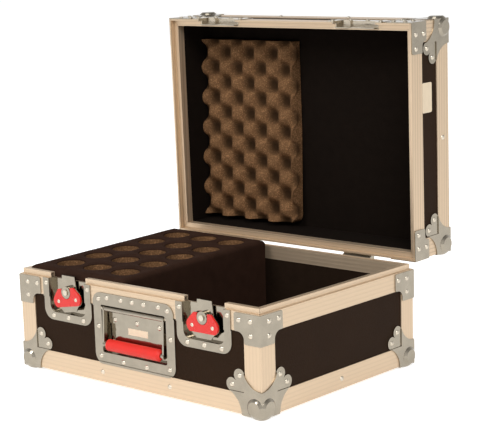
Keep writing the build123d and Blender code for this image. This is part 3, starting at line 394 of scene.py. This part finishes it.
def nodes_named(*words):
    """The CAD nodes whose names hold one of these words."""
    return [name for name in sorted(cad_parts) if any(word in name for word in words)]


# ---- Boards, metal, grips and linings ----
# The direction over the ridges of each edging, or None where they go round a frame.
RIDGES_ACROSS = {
    "base_bottom_edging": (0, 0, 1),
    "base_rail": (0, 0, 1),
    "base_upright_edging": (1, 1, 0),
    "lid_top_edging": (0, 1, 0),
    "lid_rail": None,
    "lid_upright_edging": (1, 0, 1),
}
LID_GROOVE_SHADE, BASE_GROOVE_SHADE = 0.38, 0.12    # how dark the painted shade in the furrows of the edging is

# Each kind of zinc plate: its material's name, its colour in the panel, its roughness, that of a
# drawn pocket, and words in the names of its nodes.
ZINC_PLATES = (
    ("zinc_plated_steel", "zinc", 0.20, None,
     ("ball_corners", "braces", "hinge_base", "hinge_lid")),
    ("drawn_zinc_plated_steel", "zinc", 0.30, 0.09,
     ("latch_dish", "handle_dish")),
    ("rolled_zinc_plated_steel", "zinc", 0.16, None,
     ("hook", "rotor", "latch_wing_left", "latch_wing_right", "bail")),
    # Painted light: the keeper dishes take a brighter copy of the zinc plate for the light they
    # catch.
    ("bright_zinc_plated_steel", "keeper", 0.14, None,
     ("keeper_dish",)),
)


class CASE_OT_boards(bpy.types.Operator):
    """Boards of the base and the lid"""
    bl_idname = "case.boards"
    bl_label = "Boards"

    def execute(self, context):
        dress(nodes_named("_board"), laminate_board(), round_edges=False)
        return {"FINISHED"}


class CASE_OT_edging(bpy.types.Operator):
    """Aluminium edging and the two rails"""
    bl_idname = "case.edging"
    bl_label = "Edging and rails"

    def execute(self, context):
        for piece, across in RIDGES_ACROSS.items():
            groove_shade = LID_GROOVE_SHADE if piece.startswith("lid") else BASE_GROOVE_SHADE
            dress([piece], anodised_aluminium(piece, across, groove_shade))
        return {"FINISHED"}


class CASE_OT_hardware(bpy.types.Operator):
    """Ball corners, braces, dishes, hinges, latch steel and rivets"""
    bl_idname = "case.hardware"
    bl_label = "Steel hardware"

    def execute(self, context):
        for name, tint, dull, pocket, words in ZINC_PLATES:
            plate = zinc_plated_steel(name, getattr(colours(), tint), dull, pocket)
            dress(nodes_named(*words), plate)
        dress(nodes_named("rivets", "latch_pivots", "handle_pivot_rod", "hinge_pins"),
              bright_steel(), round_edges=False)
        return {"FINISHED"}


class CASE_OT_grips(bpy.types.Operator):
    """Red grip of the handle and red covers of the latch wings"""
    bl_idname = "case.grips"
    bl_label = "Red grips"

    def execute(self, context):
        rubber = moulded_red("moulded_grip_rubber", colours().grip, low=0.45, high=0.6)
        plastic = moulded_red("moulded_abs", colours().wing, low=0.22, high=0.36)
        dress(["handle_grip"], rubber)
        dress(nodes_named("wing_grip"), plastic)
        return {"FINISHED"}


class CASE_OT_linings(bpy.types.Operator):
    """Flocked linings, the label and the sticker"""
    bl_idname = "case.linings"
    bl_label = "Linings and labels"

    def execute(self, context):
        for piece in ("lid_lining", "base_lining"):
            flock = fibrous("flocked_" + piece, getattr(colours(), piece), sizes().flock_fibre,
                            spread=0.25, depth=0.3 * MM, sheen=0.05)
            dress([piece], flock, round_edges=False)
        dress(["handle_label", "lid_sticker"], label_stock(), round_edges=False)
        return {"FINISHED"}


# ---- Microphone block ----
BORE_COLUMNS, BORE_ROWS = 3, 5
BORE_PITCH = 61.0 * MM
BORE_RADIUS = 22.25 * MM
BORE_FIELD_SHIFT = 5.0 * MM             # of the bores' middle towards the back
SHOULDER = 146.5 * MM                   # height of the base's shoulder, where the lid's rim lands
FRONT_LIFT, BACK_LIFT = 13.0 * MM, 19.5 * MM    # how far the plush stands above it
BLOCK_EDGE = 8.0 * MM
LIP, LIP_DROP = 1.5 * MM, 2.5 * MM      # the plush rolled over the bore's edge, and into it
CROWN_REACH = 9.0 * MM                  # from a bore's edge to the plush's full height
RIPPLE_PITCH, RIPPLE_HEIGHT = 38.0 * MM, 1.2 * MM
RIPPLE_FADE = 30.0 * MM                 # nearer to the block's sides the ripples die away
SAG_PITCH, SAG = 70.0 * MM, 0.8 * MM    # how unevenly the plush's upright sides pull in
SIDE_PARTS, RING_COUNT, SKIRT_ROWS = 14, 16, 8
RING_BUNCHING = 0.8                     # how far rings crowd to a bore's edge and a cell's border
WELD, ON_SIDE = 0.01 * MM, 0.1 * MM     # points so close are one, or stand on the block's side
WALL_SEGMENTS, WALL_LEVELS = 48, 22
WALL_TOP, WALL_DEPTH = 2.8 * MM, 119.0 * MM     # below the plush, and from there down
WALL_INSET = 0.5 * MM
CUT_PITCH, CUT_DEPTH = 7.0 * MM, 0.35 * MM      # how unevenly the bores were cut


@lru_cache
def block_box():
    """The plush block's outside: the cover's box, down to the divider's foot."""
    low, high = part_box("mic_block_cover")
    return Vector((low[0], low[1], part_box("mic_block_divider")[0][2])), Vector(high)


def block_top(y):
    """Height of the plush along the block, which climbs to the back."""
    low, high = block_box()
    share = (y - low.y) / (high.y - low.y)
    return SHOULDER + FRONT_LIFT + share * (BACK_LIFT - FRONT_LIFT)


def bore_centres():
    """Centres of the fifteen bores."""
    low, high = block_box()
    x_mid, y_mid = (low.x + high.x) / 2, (low.y + high.y) / 2 + BORE_FIELD_SHIFT
    return [(x_mid + (i - (BORE_COLUMNS - 1) / 2) * BORE_PITCH,
             y_mid + (j - (BORE_ROWS - 1) / 2) * BORE_PITCH)
            for i in range(BORE_COLUMNS) for j in range(BORE_ROWS)]


def rounded_depth(inset, radius):
    """How far a rounded edge falls below the surface at a distance inside that edge."""
    if inset >= radius:
        return 0.0
    return radius - (max(0.0, radius ** 2 - (radius - inset) ** 2)) ** 0.5


def side_distance(x, y):
    """Distance from the nearest side of the block."""
    low, high = block_box()
    return min(x - low.x, high.x - x, y - low.y, high.y - y)


def plush_height(x, y, near):
    """Height of the plush at a distance from the nearest bore: it swells between the bores and is
    rounded off at every edge."""
    inset = side_distance(x, y)
    swell = sizes().crown * (min(1.0, near / CROWN_REACH) - 1.0)
    ripple = noise.noise(Vector((x, y, 0)) / RIPPLE_PITCH) * RIPPLE_HEIGHT
    return (block_top(y) + swell + ripple * min(1.0, inset / RIPPLE_FADE)
            - rounded_depth(inset, BLOCK_EDGE) - rounded_depth(near, LIP))


def cell_sides(index, count, centre, low, high):
    """A bore cell's two limits along one direction: half a pitch, or out to the block's side."""
    below = low - centre if index == 0 else -BORE_PITCH / 2
    above = high - centre if index == count - 1 else BORE_PITCH / 2
    return below, above


def cell_border(left, right, front, back):
    """Points round a rectangle, each side in equal parts, so that neighbours meet."""
    corners = [(left, front), (right, front), (right, back), (left, back)]
    points = []
    for (ax, ay), (bx, by) in zip(corners, corners[1:] + corners[:1]):
        points += [(ax + (bx - ax) * k / SIDE_PARTS, ay + (by - ay) * k / SIDE_PARTS)
                   for k in range(SIDE_PARTS)]
    return points


def plush_cell(bm, cx, cy, border):
    """The plush round one bore, from inside the bore's lip out to the cell's border."""
    rings = []
    for level in range(RING_COUNT + 1):
        even = level / RING_COUNT
        share = even - RING_BUNCHING * sin(2 * pi * even) / (2 * pi)
        ring = []
        for bx, by in border:
            reach = hypot(bx, by)
            gap = (reach - BORE_RADIUS) * share
            scale = (BORE_RADIUS + gap) / reach
            x, y = cx + bx * scale, cy + by * scale
            ring.append(bm.verts.new((x, y, plush_height(x, y, gap))))
        rings.append(ring)
    drop = Vector((0, 0, LIP_DROP))
    rings.insert(0, [bm.verts.new(v.co - drop) for v in rings[0]])
    bridge(bm, rings)


def plush_sides(bm):
    """Upright sides of the plush down to the floor of the case, pulled in a little unevenly."""
    low, high = block_box()
    middle = (low + high) / 2
    edges = [e for e in bm.edges if e.is_boundary
             and min(side_distance(v.co.x, v.co.y) for v in e.verts) < ON_SIDE]
    for rows_left in range(SKIRT_ROWS, 0, -1):
        made = bmesh.ops.extrude_edge_only(bm, edges=edges)["geom"]
        fresh = [v for v in made if isinstance(v, bmesh.types.BMVert)]
        for v in fresh:
            v.co.z += (low.z - v.co.z) / rows_left
            outward = Vector((v.co.x - middle.x, v.co.y - middle.y, 0)).normalized()
            if rows_left > 1:
                v.co -= outward * abs(noise.noise(v.co / SAG_PITCH)) * SAG
        edges = [e for e in made if isinstance(e, bmesh.types.BMEdge)
                 and all(v in fresh for v in e.verts)]


def plush_surface(bm):
    """The plush over the block: a cell round each bore, crowned between the bores and rolled over
    their lips, and the sides."""
    low, high = block_box()
    for n, (cx, cy) in enumerate(bore_centres()):
        column, row = divmod(n, BORE_ROWS)
        plush_cell(bm, cx, cy, cell_border(*cell_sides(column, BORE_COLUMNS, cx, low.x, high.x),
                                           *cell_sides(row, BORE_ROWS, cy, low.y, high.y)))
    bmesh.ops.remove_doubles(bm, verts=bm.verts, dist=WELD)
    plush_sides(bm)


def bore_walls(bm):
    """Foam walls and floors of the bores, a little uneven where they were cut."""
    turns = [2 * pi * k / WALL_SEGMENTS for k in range(WALL_SEGMENTS)]
    for x, y in bore_centres():
        rings = []
        for level in range(WALL_LEVELS + 1):
            z = block_top(y) - WALL_TOP - WALL_DEPTH * level / WALL_LEVELS
            ring = []
            for angle in turns:
                spot = Vector((x + BORE_RADIUS * cos(angle), y + BORE_RADIUS * sin(angle), z))
                radius = BORE_RADIUS - WALL_INSET + CUT_DEPTH * noise.noise(spot / CUT_PITCH)
                ring.append(bm.verts.new((x + radius * cos(angle), y + radius * sin(angle), z)))
            rings.append(ring)
        bridge(bm, rings)
        bm.faces.new(rings[-1])


class CASE_OT_microphone_block(bpy.types.Operator):
    """Plush-covered foam block with its fifteen bores"""
    bl_idname = "case.microphone_block"
    bl_label = "Microphone block"

    def execute(self, context):
        plush = fibrous("knitted_plush", colours().plush, sizes().plush_tuft, spread=0.30,
                        depth=0.6 * MM, sheen=0.25)
        cover = mesh_object("plush_block", "base", plush, plush_surface, smooth_angle=80)
        walls = mesh_object("foam_bore_walls", "base", open_cell_foam(), bore_walls,
                            smooth_angle=60)
        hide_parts("mic_block_cover", "mic_block_divider")
        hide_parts("mic_foam_block")
        return {"FINISHED"}


# ---- Egg-crate pad ----
PAD_PITCH = 26.0 * MM                   # from a bump to the next pit
PAD_THICK = 26.0 * MM
PAD_WIDTH = 199.0 * MM
PAD_LENGTH = 303.0 * MM
PAD_CORNER = 12.0 * MM
PAD_GAP = 0.2 * MM                      # from what the pad lies against to its back
PAD_COLUMNS, PAD_ROWS = 84, 128
PAD_LEAN = radians(1.0)                 # of the open lid's board from the upright
PAD_BULGE = 2.5 * MM
BLUNTNESS = 0.65                        # exponent of the wave: 1 is a plain wave, less is blunter
SURFACE_PITCH, SURFACE_DEPTH = 9.0 * MM, 0.5 * MM   # how unevenly the pad was cut
PIT_SHADE_START, PIT_SHADE_GAIN = 0.05, 1.1   # height of the wave where the painted shade of a pit starts, and its growth


def crate_wave(u, v):
    """The egg-crate pattern from -1 in the pits to 1 on the bumps, in the pad's own directions."""
    wave = cos(pi * u / PAD_PITCH) * cos(pi * v / PAD_PITCH)
    return abs(wave) ** BLUNTNESS * (1 if wave > 0 else -1)


def crate_height(wave):
    """Height of the egg-crate surface above the pad's back. The bumps bulge a little."""
    middle = PAD_THICK - sizes().pad_relief / 2
    return middle + wave * (sizes().pad_relief / 2 + (PAD_BULGE if wave > 0 else 0.0))


def pad_point(i, j):
    """A point of the pad's grid, in its own directions. One lower corner is round."""
    u, v = PAD_WIDTH * i / PAD_COLUMNS, PAD_LENGTH * j / PAD_ROWS
    inner = PAD_WIDTH - PAD_CORNER
    beyond, below = u - inner, PAD_CORNER - v
    if beyond > 0 and below > 0:
        pull = max(beyond, below) / hypot(beyond, below)
        u, v = inner + beyond * pull, PAD_CORNER - below * pull
    return u, v


def egg_crate(bm):
    """The pad: a grid over the egg-crate surface, closed by upright sides and a flat back. It
    stands against the open lid's board, which leans a degree from the upright."""
    low, high = (Vector(corner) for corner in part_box("lid_foam_pad"))
    foot = Vector((low.x, high.y - PAD_LENGTH * sin(PAD_LEAN), low.z))
    across = Vector((1, 0, 0))
    along = Vector((0, sin(PAD_LEAN), cos(PAD_LEAN)))
    outward = Vector((0, -cos(PAD_LEAN), sin(PAD_LEAN)))

    def place(u, v, height):
        """A point of the pad's own directions, in the case's."""
        return foot + across * u + along * v + outward * height

    hollow = bm.verts.layers.float.new(PIT_SHADE_ATTRIBUTE)
    face = {}
    for i in range(PAD_COLUMNS + 1):
        for j in range(PAD_ROWS + 1):
            u, v = pad_point(i, j)
            wave = crate_wave(u - PAD_WIDTH / 2, v - PAD_LENGTH / 2)
            cut = noise.noise(Vector((u, v, 0)) / SURFACE_PITCH) * SURFACE_DEPTH
            face[i, j] = bm.verts.new(place(u, v, crate_height(wave) + cut))
            # Painted shade of the pits: 0 on a bump, growing to 1 deep in a pit.
            face[i, j][hollow] = min(1.0, max(0.0, PIT_SHADE_START - wave) * PIT_SHADE_GAIN)
    for i in range(PAD_COLUMNS):
        for j in range(PAD_ROWS):
            bm.faces.new((face[i, j], face[i + 1, j], face[i + 1, j + 1], face[i, j + 1]))
    border = [(i, 0) for i in range(PAD_COLUMNS)] + [(PAD_COLUMNS, j) for j in range(PAD_ROWS)]
    border += [(i, PAD_ROWS) for i in range(PAD_COLUMNS, 0, -1)]
    border += [(0, j) for j in range(PAD_ROWS, 0, -1)]
    back = [bm.verts.new(place(*pad_point(i, j), PAD_GAP)) for i, j in border]
    bridge(bm, (back, [face[point] for point in border]))
    bm.faces.new(back)


class CASE_OT_egg_crate_pad(bpy.types.Operator):
    """Egg-crate foam pad in the lid"""
    bl_idname = "case.egg_crate_pad"
    bl_label = "Egg-crate pad"

    def execute(self, context):
        pad = mesh_object("egg_crate_pad", "lid", open_cell_foam(), egg_crate, smooth_angle=50)
        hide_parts("lid_foam_pad")
        return {"FINISHED"}


# ---- Studio ----
IMAGE_WIDTH, IMAGE_HEIGHT = 478, 429    # the photograph's frame, in pixels
OPTICAL_CENTRE = (218.95, 270.58)       # pixels
FOCAL_PIXELS = 1586.5
SENSOR = 36.0                           # millimetres
CAMERA_AZIMUTH, CAMERA_ELEVATION, CAMERA_ROLL = 42.152, 12.182, -1.837    # degrees
CAMERA_DISTANCE = 2475.1 * MM
CAMERA_TARGET = Vector((2.5, 8.5, 145.5)) * MM
FAR = 1000.0                            # metres: how far the camera sees, and the floor's width

# Each softbox: its name, its place and the length of its sides in metres, and its watts.
SOFTBOXES = (
    ("key_softbox", (3.8, -2.8, 4.0), 1.8, 160),
    ("fill_softbox", (-0.9, -4.4, 3.4), 1.8, 96),
    ("top_softbox", (-0.4, -0.2, 3.4), 1.2, 14),
)
LIT_POINT = Vector((0, 0, 0.2))         # metres: where the softboxes face

SURROUND_LIGHT = 0.30                   # strength with which the surround lights the case
WHITE_BELOW, GREY_ABOVE = 0.3, 0.75     # sines of the elevations between which it turns grey
OVERHEAD = 0.35                         # the grey that is seen above them
FLOOR_LIFT = 0.72                       # brings the lit floor up to white where it is seen


def camera_axes():
    """The camera's right, up and back directions."""
    azimuth, elevation, roll = map(radians, (CAMERA_AZIMUTH, CAMERA_ELEVATION, CAMERA_ROLL))
    back = Vector((sin(azimuth) * cos(elevation), -cos(azimuth) * cos(elevation), sin(elevation)))
    level = Vector((cos(azimuth), sin(azimuth), 0))
    upright = back.cross(level)
    right = cos(roll) * level + sin(roll) * upright
    up = -sin(roll) * level + cos(roll) * upright
    return right, up, back


def add_camera():
    """A camera where the photograph was taken from."""
    data = bpy.data.cameras.new("photograph_view")
    camera = bpy.data.objects.new("photograph_view", data)
    bpy.context.scene.collection.objects.link(camera)
    right, up, back = camera_axes()
    turn = Matrix((right, up, back)).transposed().to_4x4()
    camera.matrix_world = Matrix.Translation(CAMERA_TARGET + back * CAMERA_DISTANCE) @ turn
    data.sensor_fit, data.sensor_width = "HORIZONTAL", SENSOR
    data.lens = FOCAL_PIXELS * SENSOR / IMAGE_WIDTH
    data.shift_x = (IMAGE_WIDTH / 2 - OPTICAL_CENTRE[0]) / IMAGE_WIDTH
    data.shift_y = (OPTICAL_CENTRE[1] - IMAGE_HEIGHT / 2) / IMAGE_WIDTH
    data.clip_end = FAR
    bpy.context.scene.camera = camera


def add_softbox(name, place, side, watts):
    """A square softbox that faces the case."""
    data = bpy.data.lights.new(name, "AREA")
    data.size, data.energy = side, watts
    lamp = bpy.data.objects.new(name, data)
    bpy.context.scene.collection.objects.link(lamp)
    lamp.location = place
    lamp.rotation_euler = (LIT_POINT - Vector(place)).to_track_quat("-Z", "Y").to_euler()


def seen_rays(tree):
    """1 for the rays that show a thing direct, mirrored or through glass, 0 for those that
    light it."""
    rays = node(tree, "ShaderNodeLightPath")
    seen = node(tree, "ShaderNodeMath", {"operation": "MAXIMUM"}, i0=rays.outputs["Is Camera Ray"],
                i1=rays.outputs["Is Glossy Ray"])
    return node(tree, "ShaderNodeMath", {"operation": "MAXIMUM"}, i0=seen.outputs[0],
                i1=rays.outputs["Is Transmission Ray"]).outputs[0]


def add_world():
    """A surround that lights evenly. Seen direct or in metal, it is a white backdrop round the
    horizon, and greyer overhead."""
    world = bpy.data.worlds.new("pale_surround")
    bpy.context.scene.world = world
    world.use_nodes = True
    tree = world.node_tree
    tree.nodes.clear()
    direction = node(tree, "ShaderNodeTexCoord").outputs["Generated"]
    height = node(tree, "ShaderNodeSeparateXYZ", Vector=direction).outputs["Z"]
    backdrop = node(tree, "ShaderNodeMapRange", Value=height, From_Min=WHITE_BELOW,
                    From_Max=GREY_ABOVE, To_Min=1.0, To_Max=OVERHEAD)
    strength = node(tree, "ShaderNodeMix", i0=seen_rays(tree), i2=SURROUND_LIGHT,
                    i3=backdrop.outputs["Result"])
    background = node(tree, "ShaderNodeBackground", Color=(1, 1, 1, 1),
                      Strength=strength.outputs[0])
    node(tree, "ShaderNodeOutputWorld", Surface=background.outputs[0])


def add_floor():
    """A matt white floor under the ball corners, so wide that it fills the view. It shows white
    to the camera and in reflections, and the case's shadow stays on it."""
    bpy.ops.mesh.primitive_plane_add(size=FAR, location=(0, 0, cad_box[0][2]))
    floor = bpy.context.active_object
    floor.name = "floor"
    material, tree, shader, _ = new_material("painted_floor", Base_Color=colours().floor,
                                             Roughness=0.9, Emission_Color=(1, 1, 1, 1))
    lift = node(tree, "ShaderNodeMath", {"operation": "MULTIPLY"}, i0=seen_rays(tree),
                i1=FLOOR_LIFT)
    tree.links.new(lift.outputs[0], shader.inputs["Emission Strength"])
    floor.data.materials.append(material)


class CASE_OT_studio(bpy.types.Operator):
    """Camera, softboxes, surround and floor"""
    bl_idname = "case.studio"
    bl_label = "Studio"

    def execute(self, context):
        add_camera()
        add_world()
        add_floor()
        for softbox in SOFTBOXES:
            add_softbox(*softbox)
        context.scene.view_settings.view_transform = "Standard"
        return {"FINISHED"}


# ---- Panel and making ----
STEPS = (CASE_OT_studio, CASE_OT_boards, CASE_OT_edging, CASE_OT_hardware, CASE_OT_grips,
         CASE_OT_linings, CASE_OT_microphone_block, CASE_OT_egg_crate_pad)


class CASE_PT_panel(bpy.types.Panel):
    """The case's colours, sizes and making steps"""
    bl_idname = "CASE_PT_panel"
    bl_label = "Microphone case"
    bl_space_type = "VIEW_3D"
    bl_region_type = "UI"
    bl_category = "Case"

    def draw(self, context):
        for group in (context.scene.case_colours, context.scene.case_sizes):
            for name in group.__annotations__:
                self.layout.prop(group, name)
        for step in STEPS:
            self.layout.operator(step.bl_idname)


CLASSES = (CaseColours, CaseSizes, *STEPS, CASE_PT_panel)


def register():
    """Adds the panel, its fields and the operators."""
    for cls in CLASSES:
        bpy.utils.register_class(cls)
    bpy.types.Scene.case_colours = PointerProperty(type=CaseColours)
    bpy.types.Scene.case_sizes = PointerProperty(type=CaseSizes)


def unregister():
    """Takes them away again."""
    del bpy.types.Scene.case_sizes
    del bpy.types.Scene.case_colours
    for cls in reversed(CLASSES):
        bpy.utils.unregister_class(cls)


def main():
    """Makes the whole scene."""
    register()
    for step in STEPS:
        group, name = step.bl_idname.split(".")
        getattr(getattr(bpy.ops, group), name)()


if __name__ == "__main__":
    main()
